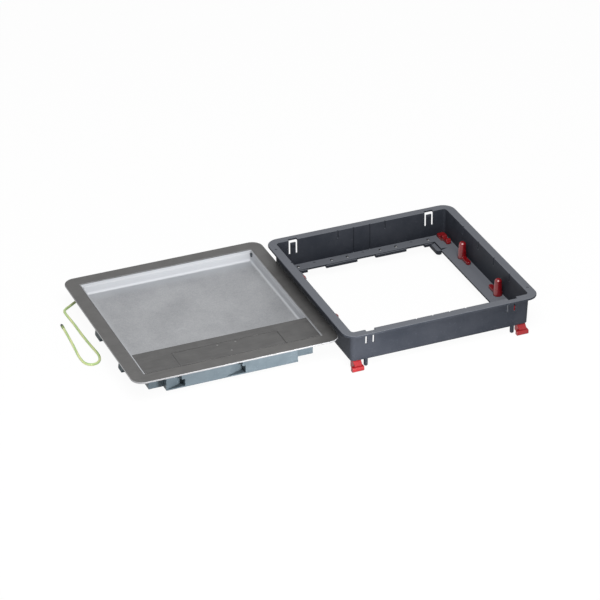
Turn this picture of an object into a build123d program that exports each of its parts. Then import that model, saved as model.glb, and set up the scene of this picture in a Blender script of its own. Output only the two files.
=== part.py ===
from build123d import *
import os
from math import radians, tan

# Floor socket box, nominal size 9 square: the hinged cover unit on the left and the mounting
# frame that it drops into on the right, standing side by side on the floor.
# Millimetres, +Z up, +Y to the back. Origin: middle of the pair's footprint, on the floor.

os.makedirs("parts", exist_ok=True)

# The pair
COVER_FLANGE = 270.0        # side of the cover's square trim flange
FRAME_FLANGE = 264.0        # side of the mounting frame's square flange
PAIR_TUCK = 9.4             # how far the cover's edge lies under the frame's flange
PAIR_STAGGER = 36.0         # how far the cover stands behind the frame's front edge
COVER_TOP = 31.4            # top of the trim flange above the floor
FRAME_TOP = 53.7            # top of the frame's flange above the floor
RUN_CLEARANCE = 0.05        # radial play of a pin in its bore
SLIDE_CLEARANCE = 0.3       # play beside and under sliding or turning plastic pieces

# Mounting frame
FRAME_FLANGE_T = 2.5
FRAME_FLANGE_R = 17.0
FRAME_EDGE_R = 1.0
FRAME_WALL_INSET = 10.0     # flange edge to the outer wall, just under the flange
FRAME_WALL_T = 1.8
FRAME_WALL_R = 6.0
FRAME_DEPTH = 41.5          # flange top to the wall's lower edge
FRAME_DRAFT = 1.8           # degrees
LEDGE_TOP = 36.5            # flange top down to the ledge
LEDGE_T = 2.5
LEDGE_REACH_Y = 28.0        # flange edge to the ledge's inner edge, front and back
LEDGE_REACH_X = 34.0        # the same on the two sides
LEDGE_FLAT_X = 24.0         # flange edge to where the side ledge starts to slope
LEDGE_SLOPE_DROP = 2.5
LEDGE_SLOPE_END = 48.0      # flange's front or back edge to the end of the sloping stretch
RIB_START = 1.0             # ledge top down to the ribs along its front and back edges
RIB_OUT = 3.0
MIDDLE_RIB = (13.0, 57.0)   # from the frame's middle
END_RIB = (49.0, 37.0)      # from the flange's side edge
LEDGE_HOLE_D = 4.0
LEDGE_HOLE_X = (23.5, 45.7, 92.3)
LEDGE_HOLE_INSET = 19.3     # flange's front or back edge to the row of holes
DIMPLE_D = 3.0
DIMPLE_DEPTH = 0.8
LEDGE_DIMPLE_X = 69.0
LEDGE_DIMPLE_INSET = 17.0
FLANGE_DIMPLE = (5.8, 26.3) # from the flange's side edge, and from its front or back edge
GROOVE_W = 1.5
GROOVE_DEPTH = 0.8
LONG_GROOVE_X = 11.5
SHORT_GROOVE_X = 33.5
SHORT_GROOVE_LENGTH = 11.0
SIDE_GROOVE_Y = (22.5, 67.0)
WINDOW_INSET = 35.7         # flange's side edge to a snap tongue's middle
WINDOW_W = 12.0
WINDOW_H = 20.0
WINDOW_FLANGE_CUT = 4.3     # how far a window cuts back the flange's inner edge
TONGUE_W = 7.4
TONGUE_TOP = 4.0
HOOK_OUT = 1.5
HOOK_H = 6.0
HOOK_NOSE = 2.0             # hook's top down to its nose
HOOK_FOOT = 0.75            # how far its foot stands out
HOOK_W = 6.2
PEG_D = 5.2
PEG_INSET = (32.0, 14.0)    # from the flange's side edge, and from its front or back edge
PEG_DEPTH = 52.7
PEG_TIP_R = 1.9
BOSS_W = 8.0
BOSS_INSET = 36.0           # flange's side edge to a boss's middle
BOSS_SPAN = (45.0, 28.0)    # flange's front or back edge to a boss's two ends
BOSS_DROP = 6.0

# Turrets on the two side ledges
TURRET_INSET = 19.4         # flange edge to the turret's axis
TURRET_Y = 52.0
TURRET_R = 6.0              # at the foot
TURRET_TOP_R = 4.6
TURRET_H = 22.8
TURRET_CHAMFER = 1.8
TAB_REACH = 22.0
TAB_W = 6.6
TAB_T = 3.6
POST_D = 3.0
POST_UP = 12.0
POST_HEAD_D = 6.0
POST_HEAD_T = 1.5

# Corner claws
CLAW_INSET_X = 19.6         # flange edge to the claw's middle
CLAW_W = 10.5
CLAW_STEM = (13.8, 20.8)    # stem's outer and inner faces, from the flange edge
CLAW_LEVER_END = 42.0
CLAW_LEVER_T = 3.0
CLAW_LEVER_W = 6.5
CLAW_R = 2.0                # upright corners of the lever and the stem
CLAW_TRAVEL = 8.0
CLAW_BUMP_R = 2.9
CLAW_BUMPS = (26.0, 37.5)
LIP_W = 15.6
LIP_H = 6.4
LIP_FRONT = 4.0             # flange edge to the lip's outer face
LIP_T = 6.0
LIP_SHIFT = -1.4            # the lip sits off the stem's middle
LIP_EDGE = 1.2

# Trim frame of the cover unit
TRIM_T = 2.0
TRIM_R = 15.0
TRIM_EDGE_R = 0.6
TRIM_LAND = 17.8            # width of the flange round the lid
SKIRT_INSET = 15.4
SKIRT_T = 1.2
SKIRT_R = 3.0
SKIRT_DEPTH = 11.7
SNAP_W = 10.0
SNAP_H = 3.0
SNAP_INSET = 67.5           # cover's edges to the snaps' middles
SNAP_Z = 7.5
SNAP_PLAY = 0.3
SNAP_ROOT = 0.6             # how far a wedge is rooted in the carrier
EARTH_TAB = (12.0, 14.5)    # width, and drop below the skirt
EARTH_TAB_R = 2.0
EARTH_INSET = 38.0          # cover's left edge to the terminal
EARTH_Z = 21.0              # below the flange top

# Carrier frame under the trim
CARRIER_T = 2.4
CARRIER_DEPTH = 29.0
CARRIER_SIDE_DEPTH = 21.0
SIDE_INSET = (45.6, 51.3)   # cover's edges to a side's full-depth stretch, left and right from outside
CORNER_RECESS = 11.5        # how far the corners stand back from the sides
SHELF_TOP = 17.9
SHELF_T = 2.2
SHELF_REACH = 35.0          # cover's edge to the clear space inside the shelf
FRONT_SILL = 12.2           # top of the low corner walls and front wall
RAMP_ENDS = (65.8, 46.2)    # cover's edges to the first and the last ramp's stepped ends
RAMP_LENGTH = 22.3
RAMP_DEPTH = 10.0           # at a pocket's stepped end
RAMP_SHALLOW = 0.9          # where a wall has nothing behind it
RAMP_STEP = 4.2             # how much further a pocket reaches below the shelf's top
RAMP_BACK_T = 1.6
RAMP_FLOOR = 1.6
RAMP_COUNT = 3
FOOT_SPANS = ((41.8, 68.2), (-37.1, -6.8))
FOOT_T = 5.0
FOOT_R = 8.0
DEVICE_HOLE_D = 4.2
DEVICE_HOLE_INSET = 31.8    # cover's side edge to the device holes
DEVICE_HOLE_Y = 60.0
SLOT_LENGTH = 10.0
SLOT_Y = (20.0, 40.0)
SLOT_W = 2.8
SLOT_RIB_INSET = 28.5       # cover's side edge to the stiffening ribs under the side shelves
SLOT_RIB_T = 1.6
SLOT_RIB_H = 5.0
SLOT_RIB_L = 100.0

# Lid
LID_GAP = 0.5               # front and sides
LID_REAR_GAP = 1.2          # room for the rear edge to swing
LID_DEPTH = 16.7
LID_SHEET = 1.5
LID_BEND_R = 5.0
LID_TOP_R = 1.2
STEP_DEPTH = 4.0            # small shoulder round the tray's inside
STEP_OUT = 0.4
STRIP_BACK = 64.8           # cover's front edge to the strip's back edge
STRIP_T = 1.5
STRIP_PLAY = 0.2
FRONT_SKIRT_DEPTH = 11.5
HINGE_Z = 4.5               # lid axis below the flange top
HINGE_FROM_REAR = 6.0       # lid axis from the lid's rear face
HINGE_PIN_D = 3.0
HINGE_HEAD_D = 5.4
HINGE_HEAD_T = 0.9
SEAL_W = 4.0
SEAL_INSET = 24.0           # cover's side edge to the seal
SEAL_T = 1.0
BAR_Y = (-22.0, 62.0)       # stiffener bars under the tray
BAR_INSET = 40.0            # cover's side edge to the bars' ends
BAR_W = 26.0
BAR_H = 5.0
BAR_T = 1.2
BAR_FOOT = 6.0

# Cord outlet flap in the strip
FLAP_HALF = 69.4            # half width of the notch in the strip
FLAP_PLAY = 0.3
FLAP_REAR_GAP = 0.8
FLAP_BACK = 50.6            # cover's front edge to the notch's back edge
FLAP_AXIS_Y = 3.4           # flap axis in front of the flap's rear edge
FLAP_AXIS_Z = 2.4           # flap axis below the top
FLAP_PIN_D = 1.8
KNUCKLE_R = 2.0
FLAP_LIP_DROP = 3.0
FLAP_LIP_T = 1.2
FLAP_LIP_PLAY = 0.4         # lip to the edge of the outlet
FLAP_LIP_INSET = 1.0        # outlet's ends to the lip's, and the lip's to the seal's
FLAP_EDGE = 0.4             # chamfer along the flap's two short edges
OUTLET_INSET = 3.4          # notch's end to the end of the cord outlet
OUTLET_FRONT = 5.6          # width of the sill in front of the outlet
BRACKET_W = 6.0
BRACKET_L = 8.0
BRACKET_H = 4.2
BRACKET_R = 0.8
POCKET_PLAY = 1.0           # hinge pocket round the saddles
STUD_D = 2.6
STUD_T = 1.2
REAR_STUDS = ((-10.8, 3.5), (12.8, 4.2))    # from the middle, and from the flap's rear edge
FRONT_STUD = (1.3, 10.3)    # from the middle, and from the flap's front edge
BRUSH_T = 2.0
BRUSH_H = 2.6

# Earth terminal and lead
EARTH_STUD_D = 4.0
EARTH_STUD_L = 7.6
EARTH_STUD_EDGE = 0.4
LUG_T = 1.0
LUG_R = 4.4
BARREL_D = 4.8
BARREL_SPAN = (6.0, 13.5)   # barrel's near and far ends, from the stud
LUG_NECK_W = 3.8
WASHER_T = 0.7
WASHER_R = 4.2
WASHER_NOTCH_R = 0.45
WASHER_NOTCHES = 8
NUT_T = 3.0
NUT_FLATS = 7.0
WIRE_D = 3.4
SLEEVE_D = 3.8
SLEEVE_L = 8.0
TIP_D = 2.0
TIP_L = 2.5
# from the lug's barrel down to the floor, along the cover's left side and back in one bend
WIRE_ROUTE = (
    (-237.8, 134.0, 10.4), (-244.5, 134.0, 10.4), (-251.2, 133.8, 8.2), (-257.6, 133.4, 4.4),
    (-264.0, 132.4, 1.9), (-269.3, 127.2, 1.9), (-269.0, 115.0, 1.9), (-267.6, 92.0, 1.9),
    (-267.2, 58.0, 1.9), (-265.0, 26.0, 1.9), (-263.4, 8.0, 1.9), (-268.2, -5.6, 1.9),
    (-278.0, -9.6, 1.9), (-286.4, -3.4, 1.9), (-288.2, 12.0, 1.9), (-286.2, 36.0, 1.9),
    (-284.2, 64.0, 1.9), (-283.3, 87.0, 1.9),
)

# Places worked out from the sizes
PAIR_WIDTH = COVER_FLANGE + FRAME_FLANGE - PAIR_TUCK
PAIR_DEPTH = PAIR_STAGGER + COVER_FLANGE
COVER_X = -PAIR_WIDTH / 2 + COVER_FLANGE / 2
COVER_Y = PAIR_DEPTH / 2 - COVER_FLANGE / 2
FRAME_X = PAIR_WIDTH / 2 - FRAME_FLANGE / 2
FRAME_Y = -PAIR_DEPTH / 2 + FRAME_FLANGE / 2
COVER_HALF = COVER_FLANGE / 2
FRAME_HALF = FRAME_FLANGE / 2
DRAFT_RATE = tan(radians(FRAME_DRAFT))
WALL_HALF = FRAME_HALF - FRAME_WALL_INSET
INNER_HALF = WALL_HALF - FRAME_WALL_T
LEDGE_INNER_HALF = INNER_HALF - LEDGE_TOP * DRAFT_RATE
UNDER_LEDGE = LEDGE_TOP + LEDGE_T
TURRET_X = FRAME_HALF - TURRET_INSET
CLAW_X = FRAME_HALF - CLAW_INSET_X
OPENING_HALF = COVER_HALF - TRIM_LAND
SKIRT_HALF = COVER_HALF - SKIRT_INSET
LID_HALF = OPENING_HALF - LID_GAP
LID_FRONT = -LID_HALF
LID_REAR = OPENING_HALF - LID_REAR_GAP
TRAY_FRONT = STRIP_BACK - COVER_HALF
HINGE_Y = LID_REAR - HINGE_FROM_REAR
FLAP_NOTCH_Y = FLAP_BACK - COVER_HALF
FLAP_REAR = FLAP_NOTCH_Y - FLAP_REAR_GAP
FLAP_HINGE_Y = FLAP_REAR - FLAP_AXIS_Y
FLAP_FRONT = LID_FRONT + STRIP_PLAY
outlet_half = FLAP_HALF - OUTLET_INSET
pin_end = FLAP_HALF + SLIDE_CLEARANCE + BRACKET_W
studs = [(x, FLAP_REAR - inset) for x, inset in REAR_STUDS]
studs.append((FRONT_STUD[0], FLAP_FRONT + FRONT_STUD[1]))
earth_x = EARTH_INSET - COVER_HALF
shelf_inner = COVER_HALF - SHELF_REACH
snap_span = COVER_FLANGE - 2 * SNAP_INSET
left = SIDE_INSET[0] - COVER_HALF
right = COVER_HALF - SIDE_INSET[1]
CORNERS = {"front_left": (-1, -1), "front_right": (1, -1), "back_left": (-1, 1), "back_right": (1, 1)}

ALONG_X = (1, 0, 0)
ALONG_Y = (0, 1, 0)
TO_FRONT = (0, -1, 0)

FRAME = Plane(origin=(FRAME_X, FRAME_Y, FRAME_TOP))
COVER = Plane(origin=(COVER_X, COVER_Y, COVER_TOP))


def cross_plane(base, x, y=0.0, z=0.0, facing=ALONG_X, along=ALONG_Y):
    """Plane for an upright profile, placed by a point in the unit's own frame."""
    point = base.origin + Vector(x, y, z)
    return Plane(origin=point, x_dir=along, z_dir=facing)


def save(piece, name):
    """Label a finished piece and write it under its own name."""
    piece.part.label = name
    export_step(piece.part, f"parts/{name}.step")


# Mounting frame: moulded flange, drafted walls, ledge, snap tongues and pegs in one piece
with BuildPart() as mounting_frame:
    with BuildSketch(FRAME):
        RectangleRounded(FRAME_FLANGE, FRAME_FLANGE, FRAME_FLANGE_R)
    extrude(amount=-FRAME_FLANGE_T)
    fillet(mounting_frame.edges().group_by(Axis.Z)[-1], radius=FRAME_EDGE_R)
    with BuildSketch(FRAME):
        RectangleRounded(2 * WALL_HALF, 2 * WALL_HALF, FRAME_WALL_R)
    extrude(amount=-FRAME_DEPTH, taper=FRAME_DRAFT)
    with BuildSketch(FRAME):
        RectangleRounded(2 * INNER_HALF, 2 * INNER_HALF, FRAME_WALL_R - FRAME_WALL_T)
    extrude(amount=-LEDGE_TOP, taper=FRAME_DRAFT, mode=Mode.SUBTRACT)
    under_half = INNER_HALF - UNDER_LEDGE * DRAFT_RATE
    with BuildSketch(FRAME.offset(-UNDER_LEDGE)):
        RectangleRounded(2 * under_half, 2 * under_half, FRAME_WALL_R - FRAME_WALL_T)
    extrude(amount=-(FRAME_DEPTH - UNDER_LEDGE), taper=FRAME_DRAFT, mode=Mode.SUBTRACT)
    # the big opening, wider between the corners where the side ledges slope down
    with BuildSketch(FRAME.offset(-LEDGE_TOP)):
        Rectangle(2 * (FRAME_HALF - LEDGE_REACH_X), 2 * (FRAME_HALF - LEDGE_REACH_Y))
        Rectangle(2 * (FRAME_HALF - LEDGE_FLAT_X), 2 * (FRAME_HALF - LEDGE_SLOPE_END))
    extrude(amount=-LEDGE_T, mode=Mode.SUBTRACT)
    for side in (-1, 1):
        with BuildSketch(cross_plane(FRAME, 0, facing=TO_FRONT, along=ALONG_X)):
            with BuildLine():
                flat = side * (FRAME_HALF - LEDGE_FLAT_X)
                edge = side * (FRAME_HALF - LEDGE_REACH_X)
                low = LEDGE_TOP + LEDGE_SLOPE_DROP
                Polyline(
                    (flat, -LEDGE_TOP), (edge, -low), (edge, -low - LEDGE_T),
                    (flat, -UNDER_LEDGE), close=True,
                )
            make_face()
        extrude(amount=FRAME_HALF - LEDGE_SLOPE_END, both=True)
    # ribs under the ledge's front and back edges
    for side in (-1, 1):
        for start, end in (MIDDLE_RIB, (FRAME_HALF - END_RIB[0], FRAME_HALF - END_RIB[1])):
            rib_y = side * (FRAME_HALF - LEDGE_REACH_Y)
            with BuildSketch(FRAME.offset(-LEDGE_TOP - RIB_START)):
                with Locations(((start + end) / 2, rib_y), (-(start + end) / 2, rib_y)):
                    Rectangle(end - start, 2 * RIB_OUT)
            extrude(amount=-(FRAME_DEPTH - LEDGE_TOP - RIB_START))
    # holes and dimples in the ledge
    with BuildSketch(FRAME.offset(-LEDGE_TOP)):
        for hole_x in LEDGE_HOLE_X:
            with GridLocations(2 * hole_x, 2 * (FRAME_HALF - LEDGE_HOLE_INSET), 2, 2):
                Circle(LEDGE_HOLE_D / 2)
        with GridLocations(2 * TURRET_X, 2 * TURRET_Y, 2, 2):
            Circle(POST_D / 2 + RUN_CLEARANCE)
    extrude(amount=-LEDGE_T, mode=Mode.SUBTRACT)
    with BuildSketch(FRAME.offset(-LEDGE_TOP)):
        with GridLocations(LEDGE_DIMPLE_X, 2 * (FRAME_HALF - LEDGE_DIMPLE_INSET), 3, 2):
            Circle(DIMPLE_D / 2)
    extrude(amount=-DIMPLE_DEPTH, mode=Mode.SUBTRACT)
    dimple_x = FRAME_HALF - FLANGE_DIMPLE[0]
    dimple_y = FRAME_HALF - FLANGE_DIMPLE[1]
    with BuildSketch(FRAME):
        with Locations((-dimple_x, dimple_y), (dimple_x, -dimple_y)):
            Circle(DIMPLE_D / 2)
    extrude(amount=-DIMPLE_DEPTH, mode=Mode.SUBTRACT)
    # slots that the corner claws slide in
    slot_start = CLAW_STEM[0] - SLIDE_CLEARANCE
    slot_end = CLAW_STEM[1] + CLAW_TRAVEL + SLIDE_CLEARANCE
    with BuildSketch(FRAME.offset(-LEDGE_TOP)):
        with GridLocations(2 * CLAW_X, 2 * (FRAME_HALF - (slot_start + slot_end) / 2), 2, 2):
            Rectangle(CLAW_W + 2 * SLIDE_CLEARANCE, slot_end - slot_start)
    extrude(amount=-LEDGE_T, mode=Mode.SUBTRACT)
    # drafted grooves down the inner walls
    end_grooves = [(LONG_GROOVE_X, LEDGE_TOP), (SHORT_GROOVE_X, SHORT_GROOVE_LENGTH)]
    side_grooves = [(groove_y, SHORT_GROOVE_LENGTH) for groove_y in SIDE_GROOVE_Y]
    for grooves, facing, along in ((end_grooves, ALONG_X, ALONG_Y), (side_grooves, TO_FRONT, ALONG_X)):
        for (place, length), side, end in [(g, a, b) for g in grooves for a in (-1, 1) for b in (-1, 1)]:
            spot = (side * place, 0) if along == ALONG_Y else (0, side * place)
            foot = INNER_HALF - length * DRAFT_RATE
            with BuildSketch(cross_plane(FRAME, *spot, facing=facing, along=along)):
                with BuildLine():
                    Polyline(
                        (end * (INNER_HALF - GROOVE_DEPTH), 0),
                        (end * (INNER_HALF + GROOVE_DEPTH), 0),
                        (end * (foot + GROOVE_DEPTH), -length),
                        (end * (foot - GROOVE_DEPTH), -length),
                        close=True,
                    )
                make_face()
            extrude(amount=GROOVE_W / 2, both=True, mode=Mode.SUBTRACT)
    # snap tongues: a window cut round three sides of each, open through the wall
    window_x = FRAME_HALF - WINDOW_INSET
    with BuildSketch(cross_plane(FRAME, 0, facing=TO_FRONT, along=ALONG_X)):
        with Locations((-window_x, -WINDOW_H / 2), (window_x, -WINDOW_H / 2)):
            Rectangle(WINDOW_W, WINDOW_H)
        tongue_mid = -(WINDOW_H + TONGUE_TOP) / 2
        with Locations((-window_x, tongue_mid), (window_x, tongue_mid)):
            Rectangle(TONGUE_W, WINDOW_H - TONGUE_TOP, mode=Mode.SUBTRACT)
    extrude(amount=INNER_HALF + WINDOW_FLANGE_CUT, both=True, mode=Mode.SUBTRACT)
    for x in (-window_x, window_x):
        for end in (-1, 1):
            with BuildSketch(cross_plane(FRAME, x)):
                with BuildLine():
                    face = INNER_HALF - WINDOW_H / 2 * DRAFT_RATE
                    Polyline(
                        (end * (face + FRAME_WALL_T / 2), -TONGUE_TOP),
                        (end * face, -TONGUE_TOP),
                        (end * (face - HOOK_OUT), -TONGUE_TOP - HOOK_NOSE),
                        (end * (face - HOOK_FOOT), -TONGUE_TOP - HOOK_H),
                        (end * (face + FRAME_WALL_T / 2), -TONGUE_TOP - HOOK_H),
                        close=True,
                    )
                make_face()
            extrude(amount=HOOK_W / 2, both=True)
    # bosses and pegs under the ledge
    for side_x in (-1, 1):
        for side_y in (-1, 1):
            with BuildSketch(FRAME.offset(-UNDER_LEDGE)):
                boss_y = FRAME_HALF - sum(BOSS_SPAN) / 2
                with Locations((side_x * (FRAME_HALF - BOSS_INSET), side_y * boss_y)):
                    SlotCenterToCenter(BOSS_SPAN[0] - BOSS_SPAN[1], BOSS_W, rotation=90)
            extrude(amount=-BOSS_DROP)
    with BuildSketch(FRAME.offset(-UNDER_LEDGE)):
        with GridLocations(2 * (FRAME_HALF - PEG_INSET[0]), 2 * (FRAME_HALF - PEG_INSET[1]), 2, 2):
            Circle(PEG_D / 2)
    extrude(amount=-(PEG_DEPTH - UNDER_LEDGE))
    fillet(mounting_frame.edges().group_by(Axis.Z)[0], radius=PEG_TIP_R)
save(mounting_frame, "mounting_frame")

# Turrets: tapered towers that turn on posts, each with a locking tab at its foot
for name, (side_x, side_y) in CORNERS.items():
    seat = FRAME.offset(-LEDGE_TOP + SLIDE_CLEARANCE)
    turret_plane = Plane(seat.origin + Vector(side_x * TURRET_X, side_y * TURRET_Y, 0))
    with BuildPart() as turret:
        with BuildSketch(Plane(turret_plane.origin, x_dir=ALONG_X, z_dir=TO_FRONT)):
            with BuildLine():
                Polyline(
                    (0, 0), (TURRET_R, 0), (TURRET_TOP_R, TURRET_H - TURRET_CHAMFER),
                    (TURRET_TOP_R - TURRET_CHAMFER, TURRET_H), (0, TURRET_H), close=True,
                )
            make_face()
        revolve(axis=Axis(turret_plane.origin, (0, 0, 1)))
        with BuildSketch(turret_plane):
            tab_mid = (TAB_REACH - TAB_W / 2) / 2
            with Locations((0, -side_y * tab_mid)):
                SlotCenterToCenter(TAB_REACH - TAB_W / 2, TAB_W, rotation=90)
        extrude(amount=TAB_T)
        with BuildSketch(turret_plane):
            Circle(POST_D / 2 + RUN_CLEARANCE)
        extrude(amount=POST_UP, mode=Mode.SUBTRACT)
    save(turret, f"turret_{name}")

with BuildPart() as turret_posts:
    with BuildSketch(FRAME.offset(-UNDER_LEDGE)):
        with GridLocations(2 * TURRET_X, 2 * TURRET_Y, 2, 2):
            Circle(POST_HEAD_D / 2)
    extrude(amount=-POST_HEAD_T)
    with BuildSketch(FRAME.offset(-UNDER_LEDGE)):
        with GridLocations(2 * TURRET_X, 2 * TURRET_Y, 2, 2):
            Circle(POST_D / 2)
    extrude(amount=LEDGE_T + POST_UP - SLIDE_CLEARANCE)
save(turret_posts, "turret_posts")

# Corner claws: a lever on the ledge, a stem through its slot and a lip that grips under the floor
for name, (side_x, side_y) in CORNERS.items():
    inward = (0, -side_y, 0)
    facing = (-side_y, 0, 0)
    corner = (side_x * CLAW_X, side_y * FRAME_HALF)
    claw_plane = cross_plane(FRAME, *corner, facing=facing, along=inward)
    outer, inner = CLAW_STEM
    lever_low = -LEDGE_TOP + SLIDE_CLEARANCE
    lever_top = lever_low + CLAW_LEVER_T
    lip_top = -FRAME_TOP + LIP_H
    with BuildPart() as claw:
        with BuildSketch(claw_plane):
            with BuildLine():
                Polyline(
                    (outer, lever_top), (inner, lever_top), (inner, -FRAME_TOP),
                    (LIP_FRONT + LIP_T / 2, -FRAME_TOP),
                    (LIP_FRONT + LIP_T / 2, lip_top), (outer, -FRAME_DEPTH - SLIDE_CLEARANCE),
                    close=True,
                )
            make_face()
        extrude(amount=CLAW_W / 2, both=True)
        with BuildSketch(claw_plane):
            with BuildLine():
                stem_mid = (outer + inner) / 2
                Polyline(
                    (stem_mid, lever_top), (CLAW_LEVER_END, lever_top),
                    (CLAW_LEVER_END, lever_low), (stem_mid, lever_low), close=True,
                )
            make_face()
            with Locations([(bump, lever_top) for bump in CLAW_BUMPS]):
                Circle(CLAW_BUMP_R)
        extrude(amount=CLAW_LEVER_W / 2, both=True)
        upright = claw.edges().filter_by(Axis.Z).sort_by(Axis.Y, reverse=side_y < 0)
        fillet(upright[:2] + upright[6:8], radius=CLAW_R)
        with BuildSketch(claw_plane.offset(LIP_SHIFT)):
            with BuildLine():
                Polyline(
                    (LIP_FRONT, -FRAME_TOP + LIP_EDGE), (LIP_FRONT, lip_top - LIP_EDGE),
                    (LIP_FRONT + LIP_EDGE, lip_top), (LIP_FRONT + LIP_T, lip_top),
                    (LIP_FRONT + LIP_T, -FRAME_TOP), (LIP_FRONT + LIP_EDGE, -FRAME_TOP),
                    close=True,
                )
            make_face()
        extrude(amount=LIP_W / 2, both=True)
    save(claw, f"corner_claw_{name}")

# Trim frame: brushed flange with a folded skirt, snap windows and an earth tab
with BuildPart() as trim_frame:
    with BuildSketch(COVER):
        RectangleRounded(COVER_FLANGE, COVER_FLANGE, TRIM_R)
    extrude(amount=-TRIM_T)
    fillet(trim_frame.edges().group_by(Axis.Z)[-1], radius=TRIM_EDGE_R)
    with BuildSketch(COVER):
        RectangleRounded(2 * SKIRT_HALF, 2 * SKIRT_HALF, SKIRT_R)
    extrude(amount=-SKIRT_DEPTH)
    with BuildSketch(COVER.offset(-TRIM_T)):
        RectangleRounded(2 * (SKIRT_HALF - SKIRT_T), 2 * (SKIRT_HALF - SKIRT_T), SKIRT_R - SKIRT_T)
    extrude(amount=-(SKIRT_DEPTH - TRIM_T), mode=Mode.SUBTRACT)
    with BuildSketch(COVER):
        Rectangle(2 * OPENING_HALF, 2 * OPENING_HALF)
    extrude(amount=-TRIM_T, mode=Mode.SUBTRACT)
    for facing, along in ((ALONG_X, ALONG_Y), (TO_FRONT, ALONG_X)):
        with BuildSketch(cross_plane(COVER, 0, z=-SNAP_Z, facing=facing, along=along)):
            with GridLocations(snap_span, 0, 2, 1):
                Rectangle(SNAP_W + 2 * SNAP_PLAY, SNAP_H + 2 * SNAP_PLAY)
        extrude(amount=COVER_HALF, both=True, mode=Mode.SUBTRACT)
    with BuildSketch(cross_plane(COVER, 0, HINGE_Y, -HINGE_Z)):
        Circle(HINGE_PIN_D / 2 + RUN_CLEARANCE)
    extrude(amount=COVER_HALF, both=True, mode=Mode.SUBTRACT)
    tab_top = cross_plane(COVER, earth_x, SKIRT_HALF, facing=TO_FRONT, along=ALONG_X)
    with BuildSketch(tab_top):
        with Locations((0, -SKIRT_DEPTH - (EARTH_TAB[1] - EARTH_TAB_R) / 2)):
            RectangleRounded(EARTH_TAB[0], EARTH_TAB[1] + EARTH_TAB_R, EARTH_TAB_R)
        with Locations((0, -EARTH_Z)):
            Circle(EARTH_STUD_D / 2 + RUN_CLEARANCE, mode=Mode.SUBTRACT)
    extrude(amount=SKIRT_T)
save(trim_frame, "trim_frame")

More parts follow.
